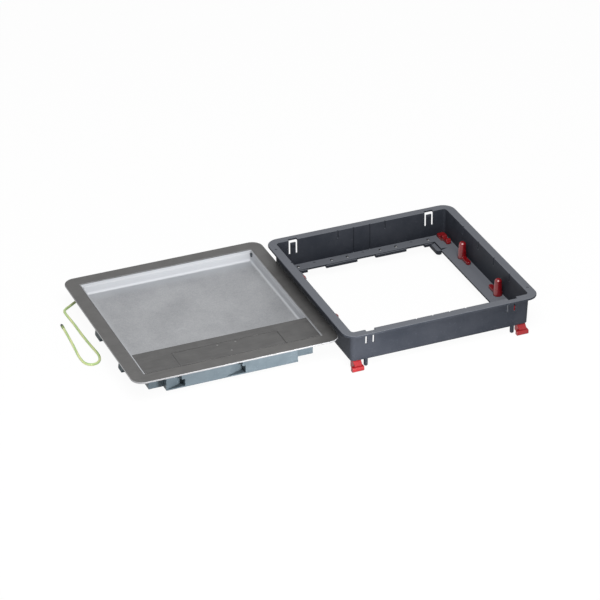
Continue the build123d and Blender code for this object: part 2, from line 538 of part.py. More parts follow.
# Carrier frame: moulded ring that snaps into the trim's skirt and carries the lid and the devices
ring_half = SKIRT_HALF - SKIRT_T
corner_half = SKIRT_HALF - CORNER_RECESS
span_mid = (left + right) / 2
span = right - left
ramp_pitch = (COVER_FLANGE - sum(RAMP_ENDS)) / (RAMP_COUNT - 1)
with BuildPart() as carrier_frame:
    # upper ring inside the skirt
    with BuildSketch(COVER.offset(-TRIM_T)):
        RectangleRounded(2 * ring_half, 2 * ring_half, SKIRT_R - SKIRT_T)
        Rectangle(2 * OPENING_HALF, 2 * OPENING_HALF, mode=Mode.SUBTRACT)
    extrude(amount=-(FRONT_SILL - TRIM_T))
    # shelf in the outline of the lower box: four sides with the corners set back
    with BuildSketch(COVER.offset(-SHELF_TOP)):
        Rectangle(2 * corner_half, 2 * corner_half)
        for turn in range(4):
            with Locations(Location((0, 0, 0), (0, 0, 90 * turn))):
                with Locations((span_mid, -SKIRT_HALF / 2)):
                    Rectangle(span, SKIRT_HALF)
        Rectangle(2 * shelf_inner, 2 * shelf_inner, mode=Mode.SUBTRACT)
    extrude(amount=-SHELF_T)
    # walls: front and back to the full depth, the sides shallower
    for turn, depth in enumerate((CARRIER_DEPTH, CARRIER_SIDE_DEPTH) * 2):
        with BuildSketch(COVER.rotated((0, 0, 90 * turn)).offset(-SKIRT_DEPTH)):
            with Locations((span_mid, -SKIRT_HALF + CARRIER_T / 2)):
                Rectangle(span, CARRIER_T)
        extrude(amount=-(depth - SKIRT_DEPTH))
    # set-back corners, with the returns that tie them to the walls; the front ones rise to the sill
    for turn, top in enumerate((FRONT_SILL, FRONT_SILL, SHELF_TOP, SHELF_TOP)):
        with BuildSketch(COVER.rotated((0, 0, 90 * turn)).offset(-top)):
            with BuildLine():
                Polyline(
                    (left, -SKIRT_HALF), (left, -corner_half), (-corner_half, -corner_half),
                    (-corner_half, -right), (-SKIRT_HALF, -right), (-SKIRT_HALF, -right + CARRIER_T),
                    (-corner_half + CARRIER_T, -right + CARRIER_T),
                    (-corner_half + CARRIER_T, -corner_half + CARRIER_T),
                    (left + CARRIER_T, -corner_half + CARRIER_T), (left + CARRIER_T, -SKIRT_HALF),
                    close=True,
                )
            make_face()
        extrude(amount=-(CARRIER_DEPTH - top))
    # snap wedges in the skirt's windows
    for facing, along in ((ALONG_X, ALONG_Y), (TO_FRONT, ALONG_X)):
        for end in (-1, 1):
            wedge_x = facing[0] * end * (ring_half - SNAP_ROOT)
            wedge_y = facing[1] * end * (ring_half - SNAP_ROOT)
            plane = cross_plane(COVER, wedge_x, wedge_y, -SNAP_Z, facing=facing, along=along)
            with BuildSketch(plane):
                with GridLocations(snap_span, 0, 2, 1):
                    Rectangle(SNAP_W, SNAP_H)
            extrude(amount=end * (SNAP_ROOT + SKIRT_T))
    # ramps along the front and back walls: pockets with a stepped end, closed below by a floor
    for turn, index in [(t, i) for t in (0, 180) for i in range(RAMP_COUNT)]:
        turned = COVER.rotated((0, 0, turn))
        step = RAMP_ENDS[0] - COVER_HALF + index * ramp_pitch
        start = max(step - RAMP_LENGTH, left)
        end = min(step + RAMP_STEP, right)
        deep = RAMP_DEPTH if step < right else RAMP_SHALLOW
        shallow = deep * (step - start) / (end - start) if turn == 0 else RAMP_SHALLOW
        top = FRONT_SILL if turn == 0 else SHELF_TOP
        wall = -SKIRT_HALF + CARRIER_T
        back = -SKIRT_HALF + deep + RAMP_BACK_T
        if step < right:
            with BuildSketch(turned.offset(-top)):
                with BuildLine():
                    Polyline(
                        (start, wall - CARRIER_T / 2), (end + RAMP_BACK_T, wall - CARRIER_T / 2),
                        (end + RAMP_BACK_T, back), (end, back), (start, wall), close=True,
                    )
                make_face()
            extrude(amount=-(CARRIER_DEPTH - top))
        for depth, reach, high, low in (
            (shallow, min(step, right), SKIRT_DEPTH, SHELF_TOP),
            (deep, end, SHELF_TOP, CARRIER_DEPTH - RAMP_FLOOR),
        ):
            with BuildSketch(turned.offset(-high)):
                with BuildLine():
                    Polyline(
                        (start, -SKIRT_HALF), (reach, -SKIRT_HALF), (reach, -SKIRT_HALF + depth),
                        close=True,
                    )
                make_face()
            extrude(amount=-(low - high), mode=Mode.SUBTRACT)
    # feet under the side walls, rounded at one end
    foot_h = COVER_TOP - SHELF_TOP
    for side, (start, end) in [(sign, foot) for sign in (-1, 1) for foot in FOOT_SPANS]:
        plane = cross_plane(COVER, side * SKIRT_HALF, facing=(side, 0, 0), along=(0, side, 0))
        with BuildSketch(plane):
            with Locations(((start + end) / 2, -SHELF_TOP - foot_h / 2)):
                foot = Rectangle(end - start, foot_h)
            fillet(foot.vertices().group_by(Axis.Z)[0].sort_by(Axis.X)[0], radius=FOOT_R)
        extrude(amount=-FOOT_T)
    # fixing holes and slots for the device supports, with a stiffening rib beside them
    with BuildSketch(COVER.offset(-SHELF_TOP)):
        hole_x = COVER_HALF - DEVICE_HOLE_INSET
        with GridLocations(2 * hole_x, 2 * DEVICE_HOLE_Y, 2, 2):
            Circle(DEVICE_HOLE_D / 2)
        for slot_y in SLOT_Y:
            with GridLocations(2 * hole_x, 2 * slot_y, 2, 2):
                SlotOverall(SLOT_LENGTH, SLOT_W, rotation=90)
    extrude(amount=-SHELF_T, mode=Mode.SUBTRACT)
    with BuildSketch(COVER.offset(-SHELF_TOP - SHELF_T)):
        with GridLocations(2 * (COVER_HALF - SLOT_RIB_INSET), 0, 2, 1):
            Rectangle(SLOT_RIB_T, SLOT_RIB_L)
    extrude(amount=-SLOT_RIB_H)
    with BuildSketch(cross_plane(COVER, 0, HINGE_Y, -HINGE_Z)):
        Circle(HINGE_PIN_D / 2 + RUN_CLEARANCE)
    extrude(amount=COVER_HALF, both=True, mode=Mode.SUBTRACT)
save(carrier_frame, "carrier_frame")

# Lid seal on the shelf, open at the front where the lid is shallow
seal_outer = COVER_HALF - SEAL_INSET
with BuildPart() as lid_seal:
    with BuildSketch(COVER.offset(-SHELF_TOP)):
        seal_front = TRAY_FRONT + LID_BEND_R
        seal_back = LID_REAR - LID_BEND_R
        with Locations((0, (seal_front + seal_back) / 2)):
            Rectangle(2 * seal_outer, seal_back - seal_front)
        with Locations((0, (seal_front + seal_back - SEAL_W) / 2)):
            inner_w = 2 * (seal_outer - SEAL_W)
            Rectangle(inner_w, seal_back - seal_front - SEAL_W, mode=Mode.SUBTRACT)
    extrude(amount=SEAL_T)
save(lid_seal, "lid_seal")

# Hollow of the lid tray, taken out of it below
inner_half = LID_HALF - LID_SHEET
inner_rear = LID_REAR - LID_SHEET
with BuildPart() as tray_hollow:
    with BuildSketch(COVER):
        with Locations((0, (TRAY_FRONT + inner_rear) / 2)):
            Rectangle(2 * inner_half, inner_rear - TRAY_FRONT)
    extrude(amount=-(LID_DEPTH - LID_SHEET))
    fillet(tray_hollow.edges().group_by(Axis.Z)[0], radius=LID_BEND_R - LID_SHEET)

# Lid tray: pressed sheet with a recess for the floor covering and a platform for the strip
with BuildPart() as lid_tray:
    tray_length = LID_REAR - TRAY_FRONT + LID_SHEET
    tray_mid = (LID_REAR + TRAY_FRONT - LID_SHEET) / 2
    with BuildSketch(COVER):
        with Locations((0, tray_mid)):
            Rectangle(2 * LID_HALF, tray_length)
    extrude(amount=-LID_DEPTH)
    fillet(lid_tray.edges().group_by(Axis.Z)[0], radius=LID_BEND_R)
    fillet(lid_tray.edges().group_by(Axis.Z)[-1].sort_by(Axis.Y)[-1], radius=LID_TOP_R)
    add(tray_hollow.part, mode=Mode.SUBTRACT)
    # shoulder round the inside, below the covering's edge
    with BuildSketch(COVER):
        with Locations((0, (TRAY_FRONT + inner_rear) / 2)):
            Rectangle(2 * (inner_half + STEP_OUT), inner_rear - TRAY_FRONT + 2 * STEP_OUT)
    extrude(amount=-STEP_DEPTH, mode=Mode.SUBTRACT)
    # platform under the strip, with side rims and a front skirt
    platform_y = (LID_FRONT + TRAY_FRONT) / 2
    platform_l = TRAY_FRONT - LID_FRONT
    with BuildSketch(COVER):
        with Locations((0, platform_y)):
            Rectangle(2 * LID_HALF, platform_l)
    extrude(amount=-FRONT_SKIRT_DEPTH)
    with BuildSketch(COVER.offset(-STRIP_T - LID_SHEET)):
        with Locations((0, platform_y)):
            Rectangle(2 * inner_half, platform_l - 2 * LID_SHEET)
    extrude(amount=-FRONT_SKIRT_DEPTH, mode=Mode.SUBTRACT)
    with BuildSketch(COVER):
        with Locations((0, platform_y)):
            Rectangle(2 * inner_half, platform_l)
    extrude(amount=-STRIP_T, mode=Mode.SUBTRACT)
    # cord outlet and the pocket behind it for the flap's hinge
    outlet_front = LID_FRONT + OUTLET_FRONT
    pocket_back = FLAP_HINGE_Y + BRACKET_L / 2 + POCKET_PLAY
    pocket_front = FLAP_HINGE_Y - BRACKET_L / 2 - POCKET_PLAY
    with BuildSketch(COVER.offset(-STRIP_T)):
        with Locations((0, (outlet_front + pocket_back) / 2)):
            Rectangle(2 * outlet_half, pocket_back - outlet_front)
        with Locations((0, (pocket_front + pocket_back) / 2)):
            Rectangle(2 * (pin_end + POCKET_PLAY), pocket_back - pocket_front)
    extrude(amount=-LID_SHEET, mode=Mode.SUBTRACT)
    with BuildSketch(cross_plane(COVER, 0, HINGE_Y, -HINGE_Z)):
        Circle(HINGE_PIN_D / 2 + RUN_CLEARANCE)
    extrude(amount=COVER_HALF, both=True, mode=Mode.SUBTRACT)
save(lid_tray, "lid_tray")

# Strip: brushed plate along the lid's front, notched for the flap
with BuildPart() as lid_strip:
    strip_half = inner_half - STRIP_PLAY
    strip_front = LID_FRONT + STRIP_PLAY
    with BuildSketch(COVER):
        with Locations((0, (strip_front + TRAY_FRONT) / 2)):
            Rectangle(2 * strip_half, TRAY_FRONT - strip_front)
        with Locations((0, (strip_front + FLAP_NOTCH_Y) / 2)):
            Rectangle(2 * FLAP_HALF, FLAP_NOTCH_Y - strip_front, mode=Mode.SUBTRACT)
    extrude(amount=-STRIP_T)
save(lid_strip, "lid_strip")

# Cord outlet flap: plate with a knuckle along its rear and a lip along its front
flap_half = FLAP_HALF - FLAP_PLAY
lip_front = LID_FRONT + OUTLET_FRONT + FLAP_LIP_PLAY
lip_half = outlet_half - FLAP_LIP_INSET
with BuildPart() as cord_flap:
    with BuildSketch(COVER):
        with Locations((0, (FLAP_FRONT + FLAP_REAR) / 2)):
            Rectangle(2 * flap_half, FLAP_REAR - FLAP_FRONT)
    extrude(amount=-STRIP_T)
    chamfer(cord_flap.edges().group_by(Axis.Z)[-1].filter_by(Axis.Y), length=FLAP_EDGE)
    with BuildSketch(COVER.offset(-STRIP_T)):
        with Locations((0, lip_front + FLAP_LIP_T / 2)):
            Rectangle(2 * lip_half, FLAP_LIP_T)
    extrude(amount=-FLAP_LIP_DROP)
    with BuildSketch(cross_plane(COVER, 0, FLAP_HINGE_Y, -FLAP_AXIS_Z)):
        Circle(KNUCKLE_R)
        with Locations((0, (FLAP_AXIS_Z - STRIP_T) / 2)):
            Rectangle(2 * KNUCKLE_R, FLAP_AXIS_Z - STRIP_T)
    extrude(amount=flap_half, both=True)
    with BuildSketch(cross_plane(COVER, 0, FLAP_HINGE_Y, -FLAP_AXIS_Z)):
        Circle(FLAP_PIN_D / 2 + RUN_CLEARANCE)
    extrude(amount=flap_half, both=True, mode=Mode.SUBTRACT)
    with BuildSketch(COVER):
        with Locations(*studs):
            Circle(STUD_D / 2)
    extrude(amount=-STUD_T, mode=Mode.SUBTRACT)
save(cord_flap, "cord_flap")

# Flap pin, and the saddles under the strip that hold its ends
with BuildPart() as flap_pin:
    with BuildSketch(cross_plane(COVER, 0, FLAP_HINGE_Y, -FLAP_AXIS_Z)):
        Circle(FLAP_PIN_D / 2)
    extrude(amount=pin_end, both=True)
save(flap_pin, "flap_pin")

with BuildPart() as flap_saddles:
    for side in (-1, 1):
        saddle_x = side * (FLAP_HALF + SLIDE_CLEARANCE)
        with BuildSketch(cross_plane(COVER, saddle_x, FLAP_HINGE_Y)):
            with Locations((0, -STRIP_T - BRACKET_H / 2)):
                RectangleRounded(BRACKET_L, BRACKET_H, BRACKET_R)
            with Locations((0, -STRIP_T - BRACKET_R / 2)):
                Rectangle(BRACKET_L, BRACKET_R)
            with Locations((0, -FLAP_AXIS_Z)):
                Circle(FLAP_PIN_D / 2 + RUN_CLEARANCE, mode=Mode.SUBTRACT)
            with Locations((0, -(FLAP_AXIS_Z + STRIP_T) / 2)):
                groove_w = FLAP_PIN_D + 2 * RUN_CLEARANCE
                Rectangle(groove_w, FLAP_AXIS_Z - STRIP_T, mode=Mode.SUBTRACT)
        extrude(amount=side * BRACKET_W)
save(flap_saddles, "flap_saddles")

with BuildPart() as flap_studs:
    with BuildSketch(COVER):
        with Locations(*studs):
            Circle(STUD_D / 2 - RUN_CLEARANCE)
    extrude(amount=-STUD_T)
save(flap_studs, "flap_studs")

with BuildPart() as flap_seal:
    with BuildSketch(COVER.offset(-STRIP_T)):
        with Locations((0, lip_front + FLAP_LIP_T + BRUSH_T / 2)):
            Rectangle(2 * (lip_half - FLAP_LIP_INSET), BRUSH_T)
    extrude(amount=-BRUSH_H)
save(flap_seal, "flap_seal")

# Stiffener bars welded under the tray, hat section, open towards the tray
with BuildPart() as lid_stiffeners:
    for bar_y in BAR_Y:
        with BuildSketch(cross_plane(COVER, 0, bar_y, -LID_DEPTH)):
            with BuildLine():
                half = BAR_W / 2
                web = half - BAR_FOOT
                Polyline(
                    (-half, 0), (-web - BAR_T, 0), (-web, -BAR_H + BAR_T), (web, -BAR_H + BAR_T),
                    (web + BAR_T, 0), (half, 0), (half, -BAR_T), (web + 2 * BAR_T, -BAR_T),
                    (web + BAR_T, -BAR_H), (-web - BAR_T, -BAR_H), (-web - 2 * BAR_T, -BAR_T),
                    (-half, -BAR_T), close=True,
                )
            make_face()
        extrude(amount=COVER_HALF - BAR_INSET, both=True)
save(lid_stiffeners, "lid_stiffeners")

# Hinge pins: headed inside the tray, fixed through the skirt
for name, side in (("left", -1), ("right", 1)):
    head_plane = cross_plane(COVER, side * (inner_half - SLIDE_CLEARANCE), HINGE_Y, -HINGE_Z)
    with BuildPart() as hinge_pin:
        with BuildSketch(head_plane):
            Circle(HINGE_HEAD_D / 2)
        extrude(amount=-side * HINGE_HEAD_T)
        with BuildSketch(head_plane):
            Circle(HINGE_PIN_D / 2)
        extrude(amount=side * (SKIRT_HALF - inner_half + SLIDE_CLEARANCE))
    save(hinge_pin, f"hinge_pin_{name}")

# Earth terminal on the trim's tab: stud, ring lug, serrated washer and nut
terminal = cross_plane(COVER, earth_x, SKIRT_HALF, -EARTH_Z, facing=TO_FRONT, along=ALONG_X)
with BuildPart() as earth_stud:
    with BuildSketch(terminal):
        Circle(EARTH_STUD_D / 2)
    extrude(amount=EARTH_STUD_L)
    chamfer(earth_stud.edges().sort_by(Axis.Y)[0], length=EARTH_STUD_EDGE)
save(earth_stud, "earth_stud")

with BuildPart() as earth_lug:
    barrel_start, barrel_end = BARREL_SPAN
    with BuildSketch(terminal.offset(SKIRT_T)):
        Circle(LUG_R)
        with Locations((-barrel_start, 0)):
            Rectangle(2 * barrel_start - LUG_R, LUG_NECK_W)
        Circle(EARTH_STUD_D / 2 + RUN_CLEARANCE, mode=Mode.SUBTRACT)
    extrude(amount=LUG_T)
    barrel_y = SKIRT_HALF - SKIRT_T - BARREL_D / 2
    with BuildSketch(cross_plane(COVER, earth_x - barrel_start, barrel_y, -EARTH_Z)):
        Circle(BARREL_D / 2)
    extrude(amount=-(barrel_end - barrel_start))
save(earth_lug, "earth_lug")

with BuildPart() as earth_washer:
    with BuildSketch(terminal.offset(SKIRT_T + LUG_T)):
        Circle(WASHER_R)
        with PolarLocations(WASHER_R, WASHER_NOTCHES):
            Circle(WASHER_NOTCH_R, mode=Mode.SUBTRACT)
        Circle(EARTH_STUD_D / 2 + RUN_CLEARANCE, mode=Mode.SUBTRACT)
    extrude(amount=WASHER_T)
save(earth_washer, "earth_washer")

with BuildPart() as earth_nut:
    with BuildSketch(terminal.offset(SKIRT_T + LUG_T + WASHER_T)):
        RegularPolygon(NUT_FLATS / 2, 6, major_radius=False)
        Circle(EARTH_STUD_D / 2 + RUN_CLEARANCE, mode=Mode.SUBTRACT)
    extrude(amount=NUT_T)
save(earth_nut, "earth_nut")

# Earth lead: straight runs joined by the largest arcs that they leave room for
points = [Vector(*point) for point in WIRE_ROUTE]
runs = [b - a for a, b in zip(points, points[1:])]
radii = [
    0.45 * min(a.length, b.length) / tan(radians(a.get_angle(b) / 2))
    for a, b in zip(runs, runs[1:])
]
print("earth lead radii:", [round(radius, 1) for radius in radii])
with BuildPart() as earth_wire:
    with BuildLine() as route:
        FilletPolyline(*WIRE_ROUTE, radius=radii)
    with BuildSketch(Plane(origin=points[0], z_dir=runs[0])):
        Circle(WIRE_D / 2)
    sweep()
save(earth_wire, "earth_wire")
wire_length = sum(edge.length for edge in route.edges())
section = Circle(WIRE_D / 2, mode=Mode.PRIVATE).area
print("earth lead length:", round(wire_length, 1))
print("volume over section times length:", round(earth_wire.part.volume / (section * wire_length), 4))

with BuildPart() as wire_sleeve:
    sleeve_plane = Plane(origin=points[-1], z_dir=runs[-1])
    with BuildSketch(sleeve_plane):
        Circle(SLEEVE_D / 2)
    extrude(amount=SLEEVE_L)
    with BuildSketch(sleeve_plane.offset(SLEEVE_L)):
        Circle(TIP_D / 2)
    extrude(amount=TIP_L)
save(wire_sleeve, "wire_sleeve")
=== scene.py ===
"""Floor socket box: the hinged cover unit on the left and the moulded mounting frame on the right."""

import math

import bmesh
import bpy
import numpy as np
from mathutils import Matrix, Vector


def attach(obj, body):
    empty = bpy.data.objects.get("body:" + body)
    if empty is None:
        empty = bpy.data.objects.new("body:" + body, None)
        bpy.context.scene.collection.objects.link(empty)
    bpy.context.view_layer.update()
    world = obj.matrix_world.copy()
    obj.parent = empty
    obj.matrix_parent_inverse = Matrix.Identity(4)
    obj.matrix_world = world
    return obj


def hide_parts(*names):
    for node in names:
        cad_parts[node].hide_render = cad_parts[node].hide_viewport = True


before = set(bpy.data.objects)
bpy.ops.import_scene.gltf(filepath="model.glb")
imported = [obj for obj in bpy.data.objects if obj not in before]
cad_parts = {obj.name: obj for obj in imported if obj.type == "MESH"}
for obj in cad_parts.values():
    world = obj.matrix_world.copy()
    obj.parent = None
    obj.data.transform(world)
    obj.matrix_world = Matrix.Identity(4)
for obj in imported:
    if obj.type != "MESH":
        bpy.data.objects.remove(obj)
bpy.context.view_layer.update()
scene = bpy.context.scene
scene.view_settings.view_transform = "Standard"

# Cover unit and mounting frame: middle of each flange's top face, in metres
COVER_TOP = np.array((-0.1273, 0.018, 0.0314))
FRAME_TOP = np.array((0.1303, -0.021, 0.0537))

# Camera at the photograph's viewing angle
CAMERA_PLACE = (-1.2173, -2.8786, 1.8578)
CAMERA_TURN = (math.radians(59.62), 0.0, math.radians(-22.95))
CAMERA_LENS = 172.74
SENSOR_WIDTH = 36.0
CAMERA_REACH = 50.0

# Studio: strength of the surroundings and share of the floor that is seen plain white
AMBIENT = 0.36
FLOOR_WHITE = 0.95
FLOOR_COLOUR = (0.86, 0.86, 0.86, 1)
FLOOR_ROUGHNESS = 0.9
FLOOR_HALF = 6.0
FLOOR_DROP = 0.0002

# Lamps: name, place, the point that each faces, width and height, and watts
LAMPS = (
    ("key_lamp", (-0.35, -1.00, 1.95), (0.0, 0.0, 0.0), (1.2, 1.2), 46.0),
    ("front_lamp", (-0.01, -0.42, 0.07), (0.01, -0.15, 0.03), (0.12, 0.06), 1.9),
)

# Earth lead, from the lug's barrel down to the floor and back in one bend
LEAD_DIAMETER = 0.0034
LEAD_SIDES = 24
LEAD_TWIST = 2 * math.pi / 0.075
LEAD_ROUTE = (
    (-0.2378, 0.1340, 0.0104), (-0.2445, 0.1340, 0.0104), (-0.2512, 0.1338, 0.0082),
    (-0.2576, 0.1334, 0.0044), (-0.2640, 0.1324, 0.0019), (-0.2693, 0.1272, 0.0019),
    (-0.2690, 0.1150, 0.0019), (-0.2676, 0.0920, 0.0019), (-0.2672, 0.0580, 0.0019),
    (-0.2650, 0.0260, 0.0019), (-0.2634, 0.0080, 0.0019), (-0.2682, -0.0056, 0.0019),
    (-0.2780, -0.0096, 0.0019), (-0.2864, -0.0034, 0.0019), (-0.2882, 0.0120, 0.0019),
    (-0.2862, 0.0360, 0.0019), (-0.2842, 0.0640, 0.0019), (-0.2833, 0.0870, 0.0019),
)

# End sleeve of the lead: where its metal tip starts, and its dark last stretch
SLEEVE_END = 0.0949
SLEEVE_DARK = 0.003
SLEEVE_BLEND = 0.0002

# Spot weld marks on the tray's floor, from the middle of the cover; each has a painted highlight on its far
# rim
WELD_RADIUS = 0.0055
WELD_WIDTH = 0.0009
WELD_FAR = 0.7 * WELD_RADIUS
WELD_PLACES = ((0.0045, 0.0755), (-0.0285, -0.0160))

# Tray's rear and left walls, from the middle of the cover, and the floor beside them that is painted paler
TRAY_REAR = 0.109
TRAY_LEFT = -0.113
REAR_BAND = 0.018
LEFT_BAND = 0.012
BAND_SHARE = 0.5

# Screw holes in the mounting frame's ledge, from the middle of the frame
SCREW_HOLES_X = (-0.0923, -0.0457, -0.0235, 0.0235, 0.0457, 0.0923)
SCREW_HOLES_Y = (-0.1127, 0.1127)
HOLE_RADIUS = 0.002
HOLE_MOUTH = 0.0038
LEDGE_BOTTOM = -0.039

# Grooves in the frame's inner walls: axis along the wall, axis across it, middle and length
GROOVES = (
    (0, 1, 0.0115, 0.0370), (0, 1, 0.0335, 0.0115), (1, 0, 0.0225, 0.0115), (1, 0, 0.0670, 0.0115),
)
GROOVE_HALF = 0.0008
GROOVE_DEPTH = 0.0008
GROOVE_DEEPER = 0.0006
INNER_WALL = 0.1202
WALL_DRAFT = math.tan(math.radians(1.8))

# Ribs below the ledge's edge: their faces in the solid and as shown, and their ends
RIB_FACE = 0.101
RIB_SHOWN = 0.1025
RIB_ENDS = ((0.013, 0.057), (0.083, 0.095))

# Carrier's feet, from the middle of the cover: faces, heights, lean, and for each foot its span
# along the wall in the solid with its real span
FOOT_FACE = 0.1196
FOOT_INNER = 0.1145
FOOT_ROOT = -0.0178
FOOT_TOP = -0.021
FOOT_LOW = -0.0314
FOOT_FLARE = 0.0045
FOOT_PLACES = (((-0.0682, -0.0418), (-0.0555, -0.0395)), ((0.0068, 0.0371), (0.0240, 0.0460)))

# How near a point lies to a face, or outside an outline, to be counted to it
ON_FACE = 0.00002
ON_GROOVE = 0.00003
ON_OUTLINE = 0.0001

# Finished copies: corners nearer than this are one, faces flatter than this are joined, and edges
# sharper than this are broken
SAME_CORNER = 0.000002
SAME_FACE = math.radians(0.5)
SHARP_EDGE = math.radians(32)

# Textures: how many times they repeat in a metre
PITS = 1800.0
FINE_PITS = 2600.0
SHADE_CLOUDS = 22.0
RUBBED_SPECKS = 420.0
FINE_LINES = 3200.0
COARSE_LINES = 700.0
STEEL_CLOUDS = 60.0
SPANGLES = 240.0
ZINC_CLOUDS = 18.0
ZINC_GRAIN = 700.0
TURNED_GRAIN = 1500.0
FOAM_CELLS = 1900.0
WAX_CLOUDS = 160.0
TIP_GRAIN = 1200.0

# Brushed lines: share of their scale that is left along them
LINE_STRETCH = 0.035

# Depth of each texture in metres
GRAIN_DEPTH = 0.00004
POLISHED_DEPTH = 0.00001
LINE_DEPTH = 0.00003
ZINC_DEPTH = 0.00004
FOAM_DEPTH = 0.0002
WAX_DEPTH = 0.00008

# Colours that stay inside one material, mostly as its darkest and lightest shade
FOAM_BLACK = ((0.012, 0.012, 0.013, 1), (0.04, 0.04, 0.042, 1))
LEAD_GREEN = ((0.37, 0.53, 0.21, 1), (0.44, 0.59, 0.25, 1))
LEAD_YELLOW = ((0.56, 0.62, 0.28, 1), (0.63, 0.68, 0.33, 1))
SLEEVE_GREEN = (0.22, 0.30, 0.11, 1)
SLEEVE_BLACK = ((0.012, 0.016, 0.014, 1), (0.03, 0.036, 0.033, 1))
TIP_GREY = ((0.10, 0.10, 0.10, 1), (0.2, 0.2, 0.2, 1))
WHITE = (1, 1, 1, 1)


def set_camera():
    """Puts the camera where the photograph was taken from."""
    camera = bpy.data.objects.new("camera", bpy.data.cameras.new("camera"))
    camera.data.sensor_width = SENSOR_WIDTH
    camera.data.lens = CAMERA_LENS
    camera.data.clip_end = CAMERA_REACH
    camera.location = CAMERA_PLACE
    camera.rotation_euler = CAMERA_TURN
    scene.collection.objects.link(camera)
    scene.camera = camera


def put_in_scene(name, mesh, material):
    """Links a finished mesh under its name, smooth, with its material."""
    piece = bpy.data.objects.new(name, mesh)
    scene.collection.objects.link(piece)
    mesh.materials.clear()
    mesh.materials.append(material)
    mesh.polygons.foreach_set("use_smooth", np.ones(len(mesh.polygons), bool))
    return piece


def face_outwards(mesh):
    """Turns every face of a closed mesh outwards."""
    shape = bmesh.new()
    shape.from_mesh(mesh)
    bmesh.ops.recalc_face_normals(shape, faces=shape.faces)
    shape.to_mesh(mesh)
    shape.free()


def grid_faces(rows, columns, closed=False):
    """Corner numbers of the faces between the points of a grid, row by row.

    The face at (i, j) joins points (i, j), (i + 1, j), (i + 1, j + 1) and (i, j + 1); on a closed
    grid the last column is joined to the first.
    """
    i, j = np.meshgrid(np.arange(rows - 1), np.arange(columns if closed else columns - 1), indexing="ij")
    k = (j + 1) % columns
    corners = [i * columns + j, (i + 1) * columns + j, (i + 1) * columns + k, i * columns + k]
    return np.stack(corners, -1).reshape(-1, 4)


def lead_line():
    """Points along the lead's smooth line, read from the spline that its route's points control."""
    data = bpy.data.curves.new("lead_line", "CURVE")
    data.dimensions = "3D"
    data.resolution_u = 16
    spline = data.splines.new("NURBS")
    spline.points.add(len(LEAD_ROUTE) - 1)
    route = np.ones((len(LEAD_ROUTE), 4))
    route[:, :3] = LEAD_ROUTE
    spline.points.foreach_set("co", route.ravel())
    spline.order_u = 3
    spline.use_endpoint_u = True
    holder = bpy.data.objects.new("lead_line", data)
    line = bpy.data.meshes.new_from_object(holder)
    points = np.empty(len(line.vertices) * 3)
    line.vertices.foreach_get("co", points)
    bpy.data.objects.remove(holder)
    return points.reshape(-1, 3)


def lead_tube(material):
    """Covering of the earth lead: a round tube along the lead's line, closed flat at both ends.

    Point (s, a) is line(s) + r cos(a) side(s) + r sin(a) over(s), where r is half the lead's
    diameter, side is level and square to the line, and over is square to both. The attribute
    stripe holds cos and sin of a + twist times s, so that the two colours wind slowly along it.
    """
    points = lead_line()
    steps = np.linalg.norm(np.diff(points, axis=0), axis=1)
    along = np.concatenate([[0.0], np.cumsum(steps)])
    run = np.gradient(points, axis=0)
    run /= np.linalg.norm(run, axis=1, keepdims=True)
    side = np.cross(run, (0.0, 0.0, 1.0))
    side /= np.linalg.norm(side, axis=1, keepdims=True)
    over = np.cross(side, run)
    angle = np.linspace(0, 2 * np.pi, LEAD_SIDES, endpoint=False)
    radius = LEAD_DIAMETER / 2
    sideways = radius * np.cos(angle)[None, :, None] * side[:, None]
    upwards = radius * np.sin(angle)[None, :, None] * over[:, None]
    corners = (points[:, None] + sideways + upwards).reshape(-1, 3)
    faces = grid_faces(len(points), LEAD_SIDES, closed=True).tolist()
    faces.append(list(range(LEAD_SIDES)))
    faces.append(list(range(len(corners) - 1, len(corners) - LEAD_SIDES - 1, -1)))
    mesh = bpy.data.meshes.new("earth_lead")
    mesh.from_pydata(corners.tolist(), [], faces)
    wound = angle[None, :] + LEAD_TWIST * along[:, None]
    stripe = np.stack([np.cos(wound), np.sin(wound), np.zeros_like(wound)], -1).reshape(-1, 3)
    mesh.attributes.new("stripe", "FLOAT_VECTOR", "POINT").data.foreach_set("vector", stripe.ravel())
    face_outwards(mesh)
    return put_in_scene("earth_lead", mesh, material), points


def frame_details(points):
    """Mounting frame's finer shape: screw holes, ribs and grooves.

    A point on a hole's lower rim goes from its radius to the mouth's, along the line from the
    hole's middle. A point on a rib's face goes to the face's shown distance from the frame's
    middle. A point on a groove's bottom, one depth behind the leaning inner wall, goes deeper.
    """
    place = points - FRAME_TOP
    low = np.abs(place[:, 2] - LEDGE_BOTTOM) < ON_FACE
    for middle in [(x, y) for x in SCREW_HOLES_X for y in SCREW_HOLES_Y]:
        away = place[:, :2] - middle
        reach = np.linalg.norm(away, axis=1)
        rim = low & (reach < HOLE_RADIUS + ON_OUTLINE)
        place[rim, :2] = middle + away[rim] * (HOLE_MOUTH / reach[rim])[:, None]
    across = np.abs(place[:, 0])
    on_rib = np.zeros(len(place), bool)
    for start, end in RIB_ENDS:
        on_rib |= (across > start - ON_OUTLINE) & (across < end + ON_OUTLINE)
    on_rib &= np.abs(np.abs(place[:, 1]) - RIB_FACE) < ON_FACE
    place[on_rib, 1] = np.sign(place[on_rib, 1]) * RIB_SHOWN
    for run, out, middle, length in GROOVES:
        behind = np.abs(place[:, out]) - (INNER_WALL + place[:, 2] * WALL_DRAFT)
        bottom = (np.abs(np.abs(place[:, run]) - middle) < GROOVE_HALF) & (place[:, 2] > -length)
        bottom &= np.abs(behind - GROOVE_DEPTH) < ON_GROOVE
        place[bottom, out] += np.sign(place[bottom, out]) * GROOVE_DEEPER
    return place + FRAME_TOP


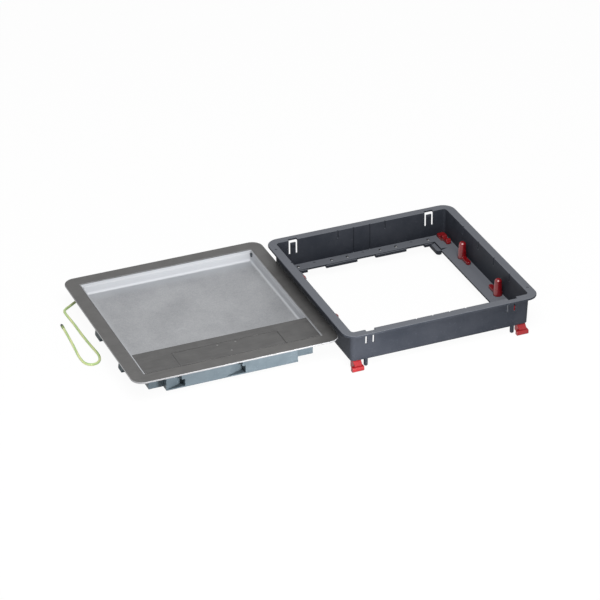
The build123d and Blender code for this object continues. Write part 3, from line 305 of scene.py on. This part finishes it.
def carrier_details(points):
    """Carrier's feet stand where the real ones do and lean outwards.

    Along its wall a foot's span is drawn to its real span, counted the other way round on the right
    side, and a point on its outer face moves out with its depth below the foot's top.
    """
    place = points - COVER_TOP
    side = -np.sign(place[:, 0])
    along = place[:, 1] * side
    below = (np.abs(place[:, 0]) > FOOT_INNER) & (place[:, 2] < FOOT_ROOT)
    for (start, end), (real_start, real_end) in FOOT_PLACES:
        foot = below & (along > start - ON_OUTLINE) & (along < end + ON_OUTLINE)
        share = (along[foot] - start) / (end - start)
        place[foot, 1] = side[foot] * (real_start + share * (real_end - real_start))
        face = foot & (np.abs(place[:, 0]) > FOOT_FACE - ON_FACE) & (place[:, 2] < FOOT_TOP)
        depth = (FOOT_TOP - place[face, 2]) / (FOOT_TOP - FOOT_LOW)
        place[face, 0] -= side[face] * FOOT_FLARE * depth
    return place + COVER_TOP


def rounded(name, edge, material, details=None):
    """Finished copy of a solid: its corners are merged, its flat faces joined, its sharp edges broken.

    The edge is the width in metres of the small round that a mould or a deburring tool leaves, and
    details is a function that moves the copy's points to the real piece's finer shape.
    """
    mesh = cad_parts[name].data.copy()
    mesh.name = name + "_finished"
    if details:
        points = np.empty(len(mesh.vertices) * 3)
        mesh.vertices.foreach_get("co", points)
        mesh.vertices.foreach_set("co", details(points.reshape(-1, 3)).ravel())
    shape = bmesh.new()
    shape.from_mesh(mesh)
    bmesh.ops.remove_doubles(shape, verts=shape.verts, dist=SAME_CORNER)
    bmesh.ops.dissolve_limit(shape, angle_limit=SAME_FACE, verts=shape.verts, edges=shape.edges)
    bmesh.ops.connect_verts_concave(shape, faces=shape.faces)
    shape.to_mesh(mesh)
    shape.free()
    # The solid's own normals no longer fit the joined faces
    for layer in list(mesh.attributes):
        if layer.name.startswith("custom_normal"):
            mesh.attributes.remove(layer)
    piece = put_in_scene(name + "_finished", mesh, material)
    bevel = piece.modifiers.new("broken edges", "BEVEL")
    bevel.width = edge
    bevel.segments = 2
    bevel.limit_method = "ANGLE"
    bevel.angle_limit = SHARP_EDGE
    bevel.loop_slide = False
    bevel.use_clamp_overlap = False
    bevel.miter_outer = "MITER_ARC"
    weighted = piece.modifiers.new("flat faces", "WEIGHTED_NORMAL")
    weighted.keep_sharp = False
    weighted.weight = 80
    return piece


def feed(tree, made, inputs):
    """Gives a node its inputs, by name or number, each a plain value or another node's output."""
    for key, value in inputs.items():
        if isinstance(value, bpy.types.NodeSocket):
            tree.links.new(value, made.inputs[key])
        else:
            made.inputs[key].default_value = value


def add_node(tree, kind, inputs=None, **settings):
    """Adds a shader node with its settings and inputs."""
    made = tree.nodes.new(kind)
    for key, value in settings.items():
        setattr(made, key, value)
    feed(tree, made, inputs or {})
    return made


def noise(tree, place, scale, detail, roughness=0.5):
    """Noise at a scale, as a number from 0 to 1."""
    inputs = {"Vector": place, "Scale": scale, "Detail": detail, "Roughness": roughness}
    return add_node(tree, "ShaderNodeTexNoise", inputs).outputs[0]


def cells(tree, place, scale):
    """Cells at a scale: Distance from the nearest cell's middle, and a Color of its own for each cell."""
    return add_node(tree, "ShaderNodeTexVoronoi", {"Vector": place, "Scale": scale}).outputs


def split(tree, vector):
    """The three parts of a vector."""
    return add_node(tree, "ShaderNodeSeparateXYZ", {0: vector}).outputs


def calc(tree, operation, first, second=0.0):
    """One sum on values."""
    return add_node(tree, "ShaderNodeMath", {0: first, 1: second}, operation=operation).outputs[0]


def between(tree, value, low, high, start=0.0, end=1.0, smooth=True):
    """Value's place between low and high, as a number from start to end."""
    inputs = {0: value, 1: low, 2: high, 3: start, 4: end}
    kind = "SMOOTHSTEP" if smooth else "LINEAR"
    return add_node(tree, "ShaderNodeMapRange", inputs, interpolation_type=kind).outputs[0]


def colour_between(tree, share, first, second):
    """Colour between two, by a share from 0 to 1."""
    return add_node(tree, "ShaderNodeMix", {0: share, 6: first, 7: second}, data_type="RGBA").outputs[2]


def new_group(name, inputs, outputs):
    """Starts a shader node group with named inputs (name, kind, value) and outputs (name, kind)."""
    tree = bpy.data.node_groups.new(name, "ShaderNodeTree")
    for label, kind, value in inputs:
        socket = tree.interface.new_socket(label, in_out="INPUT", socket_type=kind)
        if value is not None:
            socket.default_value = value
    for label, kind in outputs:
        tree.interface.new_socket(label, in_out="OUTPUT", socket_type=kind)
    return tree, tree.nodes.new("NodeGroupInput").outputs, tree.nodes.new("NodeGroupOutput").inputs


def moulded_grain():
    """Spark-eroded texture of a mould: fine pits, slow clouds of shade and sparse rubbed specks."""
    tree, given, out = new_group(
        "moulded_grain",
        [
            ("Place", "NodeSocketVector", None),
            ("Pits", "NodeSocketFloat", PITS),
            ("Specks", "NodeSocketFloat", 0.5),
        ],
        [("Height", "NodeSocketFloat"), ("Cloud", "NodeSocketFloat"), ("Rubbed", "NodeSocketFloat")],
    )
    fine = noise(tree, given["Place"], given["Pits"], 2.0)
    pits = cells(tree, given["Place"], given["Pits"])["Distance"]
    slow = noise(tree, given["Place"], SHADE_CLOUDS, 4.0, 0.6)
    specks = between(tree, noise(tree, given["Place"], RUBBED_SPECKS, 3.0), 0.62, 0.74)
    tree.links.new(calc(tree, "ADD", fine, calc(tree, "MULTIPLY", pits, 0.5)), out["Height"])
    tree.links.new(between(tree, slow, 0.32, 0.68), out["Cloud"])
    tree.links.new(calc(tree, "MULTIPLY", specks, given["Specks"]), out["Rubbed"])
    return tree


def brushed_lines():
    """Lines of a sheet brushed from left to right: noise drawn out along them, fine, coarse and slow."""
    tree, given, out = new_group(
        "brushed_lines",
        [("Place", "NodeSocketVector", None)],
        [("Height", "NodeSocketFloat"), ("Lines", "NodeSocketFloat"), ("Cloud", "NodeSocketFloat")],
    )
    mapping = {"Vector": given["Place"], "Scale": (LINE_STRETCH, 1.0, 1.0)}
    stretched = add_node(tree, "ShaderNodeMapping", mapping).outputs[0]
    fine = noise(tree, stretched, FINE_LINES, 3.0)
    coarse = noise(tree, stretched, COARSE_LINES, 3.0)
    slow = noise(tree, given["Place"], STEEL_CLOUDS, 4.0)
    both = calc(tree, "ADD", fine, coarse)
    tree.links.new(both, out["Height"])
    tree.links.new(between(tree, both, 0.82, 1.2), out["Lines"])
    tree.links.new(between(tree, slow, 0.3, 0.7), out["Cloud"])
    return tree


def level_face():
    """Share of a surface that faces up or down, from its normal, so that edges and walls are told apart."""
    tree, given, out = new_group(
        "level_face",
        [
            ("Normal", "NodeSocketVector", None),
            ("From", "NodeSocketFloat", 0.75),
            ("To", "NodeSocketFloat", 0.97),
        ],
        [("Level", "NodeSocketFloat")],
    )
    upright = calc(tree, "ABSOLUTE", split(tree, given["Normal"])[2])
    tree.links.new(between(tree, upright, given["From"], given["To"]), out["Level"])
    return tree


def weld_dimples_and_glints():
    """Where the welding tips pressed: a dimple at each place, and a faint painted highlight on the far side
    of its rim.
    """
    tree, given, out = new_group(
        "weld_dimples_and_glints",
        [("Place", "NodeSocketVector", None)],
        [("RimGlint", "NodeSocketFloat"), ("Dimple", "NodeSocketFloat")],
    )
    parts = split(tree, given["Place"])
    flat = add_node(tree, "ShaderNodeCombineXYZ", {0: parts[0], 1: parts[1]}).outputs[0]
    nearest = 1.0
    arcs = 0.0
    for x, y in WELD_PLACES:
        spot = (COVER_TOP[0] + x, COVER_TOP[1] + y, 0.0)
        gap = add_node(tree, "ShaderNodeVectorMath", {0: flat, 1: spot}, operation="DISTANCE")
        away = gap.outputs["Value"]
        off = calc(tree, "ABSOLUTE", calc(tree, "SUBTRACT", away, WELD_RADIUS))
        far = between(tree, calc(tree, "SUBTRACT", parts[1], spot[1]), 0.0, WELD_FAR)
        arc = calc(tree, "MULTIPLY", between(tree, off, WELD_WIDTH, 0.0), far)
        arcs = calc(tree, "MAXIMUM", arcs, arc)
        nearest = calc(tree, "MINIMUM", nearest, away)
    tree.links.new(arcs, out["RimGlint"])
    tree.links.new(between(tree, nearest, WELD_RADIUS, 0.0), out["Dimple"])
    return tree


GROUPS = {build.__name__: build() for build in (moulded_grain, brushed_lines, level_face, weld_dimples_and_glints)}


def use_group(tree, name, inputs):
    """Places a shader node group in a material with that material's own values."""
    made = add_node(tree, "ShaderNodeGroup", node_tree=GROUPS[name])
    feed(tree, made, inputs)
    return made.outputs


def new_finish(name, **constants):
    """Starts a material: its tree, its shader, its object coordinates and its own normal."""
    material = bpy.data.materials.new(name)
    material.use_nodes = True
    tree = material.node_tree
    shader = tree.nodes["Principled BSDF"]
    for key, value in constants.items():
        shader.inputs[key.replace("_", " ")].default_value = value
    coordinates = tree.nodes.new("ShaderNodeTexCoord")
    return material, tree, shader, coordinates.outputs["Object"], coordinates.outputs["Normal"]


def relief(tree, shader, height, strength, distance):
    """Bump from a height; the distance is its depth in metres."""
    bump = add_node(tree, "ShaderNodeBump", {"Height": height, "Strength": strength, "Distance": distance})
    tree.links.new(bump.outputs[0], shader.inputs["Normal"])


def moulded_plastic(
    name, dark, light, rough, specks, pits=PITS, depth=GRAIN_DEPTH, painted_top_light=None, **constants
):
    """Plastic with a spark-eroded grain: shade between two colours, and rubbed specks that are paler.

    Where a paler colour for the level faces is given, they take it: painted light, standing in for the
    light that falls on the tops.
    """
    material, tree, shader, place, normal = new_finish(name, **constants)
    grain = use_group(tree, "moulded_grain", {"Place": place, "Pits": pits, "Specks": specks})
    body = colour_between(tree, grain["Cloud"], dark, light)
    if painted_top_light:
        # Level faces painted paler: painted light on the tops
        level = use_group(tree, "level_face", {"Normal": normal, "From": 0.6, "To": 0.98})
        body = colour_between(tree, level["Level"], body, painted_top_light)
    paler = tuple(1.7 * part + 0.02 for part in light[:3]) + (1.0,)
    roughness = between(tree, grain["Cloud"], 0.0, 1.0, rough - 0.05, rough + 0.06)
    tree.links.new(colour_between(tree, grain["Rubbed"], body, paler), shader.inputs["Base Color"])
    tree.links.new(roughness, shader.inputs["Roughness"])
    relief(tree, shader, grain["Height"], 0.5, depth)
    return material


def brushed_steel(name, level_dark, level_light, edge):
    """Brushed stainless sheet: level faces with their lines, and plain cut edges and folds."""
    material, tree, shader, place, normal = new_finish(name, Metallic=0.35)
    lines = use_group(tree, "brushed_lines", {"Place": place})
    level = use_group(tree, "level_face", {"Normal": normal, "From": 0.8, "To": 0.98})
    fine_share = calc(tree, "MULTIPLY", lines["Lines"], 0.65)
    slow_share = calc(tree, "MULTIPLY", lines["Cloud"], 0.35)
    brushed = colour_between(tree, calc(tree, "ADD", fine_share, slow_share), level_dark, level_light)
    # Edges and folds take the edge colour, which on the trim is a painted highlight along its rim
    tree.links.new(colour_between(tree, level["Level"], edge, brushed), shader.inputs["Base Color"])
    tree.links.new(between(tree, lines["Lines"], 0.0, 1.0, 0.42, 0.56), shader.inputs["Roughness"])
    relief(tree, shader, lines["Height"], 0.35, LINE_DEPTH)
    return material


def zinc_sheet(name, floor_dark, floor_light, wall, marks=True):
    """Zinc-coated pressed sheet: mottled level faces, weld dimples, and bends and walls painted paler.

    The paler walls are a painted reflection of the bright floor, each weld dimple has a faint painted
    highlight on its far rim, and the floor is painted paler beside the tray's rear and left walls.
    """
    material, tree, shader, place, normal = new_finish(name)
    level = use_group(tree, "level_face", {"Normal": normal, "From": 0.55, "To": 0.995})["Level"]
    grey = add_node(tree, "ShaderNodeRGBToBW", {0: cells(tree, place, SPANGLES)["Color"]}).outputs[0]
    slow = noise(tree, place, ZINC_CLOUDS, 6.0, 0.62)
    fine = noise(tree, place, ZINC_GRAIN, 4.0)
    clouds = calc(tree, "MULTIPLY", between(tree, slow, 0.3, 0.7), 0.45)
    mottle = calc(tree, "ADD", calc(tree, "MULTIPLY", grey, 0.15), clouds)
    mottle = calc(tree, "ADD", mottle, between(tree, fine, 0.35, 0.65, 0.0, 0.4))
    ground = colour_between(tree, mottle, floor_dark, floor_light)
    height = calc(tree, "ADD", fine, calc(tree, "MULTIPLY", slow, 2.0))
    if marks:
        ring = use_group(tree, "weld_dimples_and_glints", {"Place": place})
        # Painted highlight on the far rim of each weld dimple, in the paler wall colour
        faint = calc(tree, "MULTIPLY", ring["RimGlint"], calc(tree, "MULTIPLY", level, 0.5))
        ground = colour_between(tree, faint, ground, wall)
        height = calc(tree, "SUBTRACT", height, calc(tree, "MULTIPLY", ring["Dimple"], 3.0))
    parts = split(tree, place)
    rear = COVER_TOP[1] + TRAY_REAR
    left = COVER_TOP[0] + TRAY_LEFT
    # Floor painted paler beside the tray's rear and left walls
    by_rear = between(tree, parts[1], rear - REAR_BAND, rear, 0.0, BAND_SHARE)
    by_left = between(tree, parts[0], left + LEFT_BAND, left, 0.0, BAND_SHARE)
    ground = colour_between(tree, calc(tree, "MAXIMUM", by_rear, by_left), ground, wall)
    # Walls and bends are painted in the paler wall colour: a painted reflection of the bright floor
    tree.links.new(colour_between(tree, level, wall, ground), shader.inputs["Base Color"])
    tree.links.new(between(tree, level, 0.0, 1.0, 0.0, 0.75), shader.inputs["Metallic"])
    tree.links.new(between(tree, mottle, 0.0, 1.0, 0.50, 0.62), shader.inputs["Roughness"])
    relief(tree, shader, height, 0.25, ZINC_DEPTH)
    return material


def turned_metal(name, colour, rough):
    """Small turned or stamped metal pieces: fine lines and a slightly uneven shine."""
    material, tree, shader, place, _ = new_finish(name, Metallic=1.0)
    fine = noise(tree, place, TURNED_GRAIN, 3.0)
    dull = tuple(0.72 * part for part in colour[:3]) + (1.0,)
    shade = colour_between(tree, between(tree, fine, 0.35, 0.65), dull, colour)
    tree.links.new(shade, shader.inputs["Base Color"])
    tree.links.new(between(tree, fine, 0.3, 0.7, rough - 0.06, rough + 0.08), shader.inputs["Roughness"])
    relief(tree, shader, fine, 0.3, LINE_DEPTH)
    return material


def foam_rubber(name):
    """Soft foam rubber: open cells of about half a millimetre."""
    material, tree, shader, place, _ = new_finish(name)
    pores = between(tree, cells(tree, place, FOAM_CELLS)["Distance"], 0.1, 0.6)
    rubber = colour_between(tree, pores, *FOAM_BLACK)
    tree.links.new(rubber, shader.inputs["Base Color"])
    tree.links.new(between(tree, pores, 0.0, 1.0, 0.95, 0.75), shader.inputs["Roughness"])
    relief(tree, shader, pores, 0.7, FOAM_DEPTH)
    return material


def lead_covering(name):
    """Green and yellow insulation: two yellow stripes wound round a green covering, slightly waxy."""
    material, tree, shader, place, _ = new_finish(name, Coat_Weight=0.15, Coat_Roughness=0.3)
    wound = add_node(tree, "ShaderNodeAttribute", attribute_name="stripe").outputs["Vector"]
    across = calc(tree, "ABSOLUTE", split(tree, wound)[0])
    slow = noise(tree, place, WAX_CLOUDS, 3.0)
    green = colour_between(tree, slow, *LEAD_GREEN)
    yellow = colour_between(tree, slow, *LEAD_YELLOW)
    striped = colour_between(tree, between(tree, across, 0.52, 0.80), green, yellow)
    tree.links.new(striped, shader.inputs["Base Color"])
    tree.links.new(between(tree, slow, 0.3, 0.7, 0.36, 0.48), shader.inputs["Roughness"])
    relief(tree, shader, slow, 0.2, WAX_DEPTH)
    return material


def lead_end(name):
    """End sleeve of the lead: green, with a dark last stretch and a metal tip."""
    material, tree, shader, place, _ = new_finish(name)
    along = split(tree, place)[1]
    dark_from = SLEEVE_END - SLEEVE_DARK
    clamped = between(tree, along, dark_from - SLEEVE_BLEND, dark_from + SLEEVE_BLEND)
    tip = between(tree, along, SLEEVE_END, SLEEVE_END + SLEEVE_BLEND)
    fine = noise(tree, place, TIP_GRAIN, 3.0)
    dark = colour_between(tree, fine, *SLEEVE_BLACK)
    sleeve = colour_between(tree, clamped, SLEEVE_GREEN, dark)
    metal = colour_between(tree, fine, *TIP_GREY)
    tree.links.new(colour_between(tree, tip, sleeve, metal), shader.inputs["Base Color"])
    tree.links.new(tip, shader.inputs["Metallic"])
    tree.links.new(between(tree, fine, 0.3, 0.7, 0.35, 0.5), shader.inputs["Roughness"])
    relief(tree, shader, fine, 0.3, LINE_DEPTH)
    return material


def seen_plain(tree):
    """Light Path's camera, glossy and transmission rays: 1 where the camera, metal or glass looks."""
    path = tree.nodes.new("ShaderNodeLightPath").outputs
    mirrored = calc(tree, "MAXIMUM", path["Is Glossy Ray"], path["Is Transmission Ray"])
    return calc(tree, "MAXIMUM", path["Is Camera Ray"], mirrored)


def light_world():
    """Even white surroundings: full white where the camera, metal or glass sees them."""
    world = bpy.data.worlds.new("surroundings")
    scene.world = world
    world.use_nodes = True
    tree = world.node_tree
    strength = between(tree, seen_plain(tree), 0.0, 1.0, AMBIENT, 1.0, smooth=False)
    feed(tree, tree.nodes["Background"], {"Color": WHITE, "Strength": strength})


def lay_floor():
    """Plain white floor, a flat two by two grid; it keeps a faint share of the shadow that falls on it."""
    ends = (-FLOOR_HALF, FLOOR_HALF)
    across, back = np.meshgrid(ends, ends, indexing="ij")
    corners = np.stack([across, back, np.full_like(across, -FLOOR_DROP)], -1).reshape(-1, 3)
    mesh = bpy.data.meshes.new("floor")
    mesh.from_pydata(corners.tolist(), [], grid_faces(2, 2).tolist())
    material = bpy.data.materials.new("white_floor")
    material.use_nodes = True
    tree = material.node_tree
    shader = tree.nodes["Principled BSDF"]
    feed(tree, shader, {"Base Color": FLOOR_COLOUR, "Roughness": FLOOR_ROUGHNESS})
    white = add_node(tree, "ShaderNodeEmission", {"Color": WHITE, "Strength": 1.0})
    share = calc(tree, "MULTIPLY", seen_plain(tree), FLOOR_WHITE)
    mixed = add_node(tree, "ShaderNodeMixShader", {0: share, 1: shader.outputs[0], 2: white.outputs[0]})
    tree.links.new(mixed.outputs[0], tree.nodes["Material Output"].inputs["Surface"])
    put_in_scene("floor", mesh, material)


def add_lamp(name, place, aim, size, watts):
    """Soft lamp of a width and a height at a place, turned towards a point."""
    data = bpy.data.lights.new(name, "AREA")
    data.shape = "RECTANGLE"
    data.size, data.size_y = size
    data.energy = watts
    lamp = bpy.data.objects.new(name, data)
    lamp.location = place
    lamp.rotation_euler = (Vector(aim) - Vector(place)).to_track_quat("-Z", "Y").to_euler()
    scene.collection.objects.link(lamp)


set_camera()
light_world()
lay_floor()
for lamp in LAMPS:
    add_lamp(*lamp)

FINISHES = {
    # The frame's level faces are painted paler than its walls: painted light on its tops
    "frame_plastic": moulded_plastic(
        "frame_plastic", (0.020, 0.023, 0.030, 1), (0.030, 0.033, 0.041, 1), 0.5, 0.25,
        painted_top_light=(0.122, 0.129, 0.146, 1), Specular_IOR_Level=0.07,
    ),
    "red_plastic": moulded_plastic(
        "red_plastic", (0.15, 0.002, 0.004, 1), (0.21, 0.004, 0.008, 1), 0.22, 0.0,
        pits=FINE_PITS, depth=POLISHED_DEPTH, Coat_Weight=0.5, Coat_Roughness=0.12,
    ),
    "claw_plastic": moulded_plastic(
        "claw_plastic", (0.17, 0.005, 0.007, 1), (0.23, 0.008, 0.011, 1), 0.36, 0.0,
        pits=FINE_PITS, depth=POLISHED_DEPTH, Specular_IOR_Level=0.4,
    ),
    "carrier_plastic": moulded_plastic(
        "carrier_plastic", (0.092, 0.120, 0.140, 1), (0.122, 0.155, 0.178, 1), 0.48, 0.2,
        Specular_IOR_Level=0.3,
    ),
    # The trim's edge colour is painted pale: a painted highlight along the flange's rounded rim
    "trim_steel": brushed_steel(
        "trim_steel", (0.074, 0.073, 0.072, 1), (0.112, 0.110, 0.108, 1), (0.32, 0.32, 0.33, 1),
    ),
    "strip_steel": brushed_steel(
        "strip_steel", (0.056, 0.055, 0.055, 1), (0.098, 0.097, 0.096, 1), (0.10, 0.10, 0.10, 1),
    ),
    "tray_zinc": zinc_sheet(
        "tray_zinc", (0.27, 0.277, 0.290, 1), (0.40, 0.406, 0.418, 1), (0.45, 0.463, 0.485, 1),
    ),
    "bar_zinc": zinc_sheet(
        "bar_zinc", (0.32, 0.33, 0.35, 1), (0.45, 0.46, 0.48, 1), (0.5, 0.52, 0.55, 1), marks=False,
    ),
    "plain_steel": turned_metal("plain_steel", (0.62, 0.62, 0.62, 1), 0.32),
    "dark_steel": turned_metal("dark_steel", (0.045, 0.055, 0.065, 1), 0.42),
    "stud_steel": turned_metal("stud_steel", (0.27, 0.27, 0.27, 1), 0.4),
    "tinned_copper": turned_metal("tinned_copper", (0.70, 0.69, 0.66, 1), 0.35),
    "foam": foam_rubber("foam"),
    "lead_covering": lead_covering("lead_covering"),
    "lead_end": lead_end("lead_end"),
}

# Earth lead
lead, lead_points = lead_tube(FINISHES["lead_covering"])
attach(lead, "box")
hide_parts("earth_wire")

# Finished copies: the solid, its body, its slot, the finish and the width of its broken edges
DETAILS = {"mounting_frame": frame_details, "carrier_frame": carrier_details}
DRESSED = [
    ("mounting_frame", "box", "moulded_frame", "frame_plastic", 0.0003),
    ("trim_frame", "box", "brushed_trim", "trim_steel", 0.0002),
    ("carrier_frame", "box", "carrier_moulding", "carrier_plastic", 0.0003),
    ("lid_tray", "lid", "sheet_steel", "tray_zinc", 0.0003),
    ("lid_strip", "lid", "brushed_trim", "strip_steel", 0.00015),
    ("lid_stiffeners", "lid", "sheet_steel", "bar_zinc", 0.0002),
    ("cord_flap", "flap", "brushed_trim", "strip_steel", 0.00015),
]
for corner in ("front_left", "front_right", "back_left", "back_right"):
    DRESSED.append((f"turret_{corner}", f"turret_{corner}", "red_moulding", "red_plastic", 0.0004))
    DRESSED.append((f"corner_claw_{corner}", f"claw_{corner}", "red_moulding", "claw_plastic", 0.0004))
for name, body, slot, finish, edge in DRESSED:
    piece = rounded(name, edge, FINISHES[finish], DETAILS.get(name))
    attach(piece, body)
    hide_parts(name)

# Solids that are shown as they are, each with its finish
PLAIN = {
    "turret_posts": "plain_steel", "lid_seal": "foam", "hinge_pin_left": "dark_steel",
    "hinge_pin_right": "dark_steel", "earth_stud": "plain_steel", "earth_lug": "tinned_copper",
    "earth_washer": "plain_steel", "earth_nut": "plain_steel", "wire_sleeve": "lead_end",
    "flap_pin": "plain_steel", "flap_saddles": "bar_zinc", "flap_studs": "stud_steel", "flap_seal": "foam",
}
for name, finish in PLAIN.items():
    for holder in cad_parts[name].material_slots:
        holder.material = FINISHES[finish]
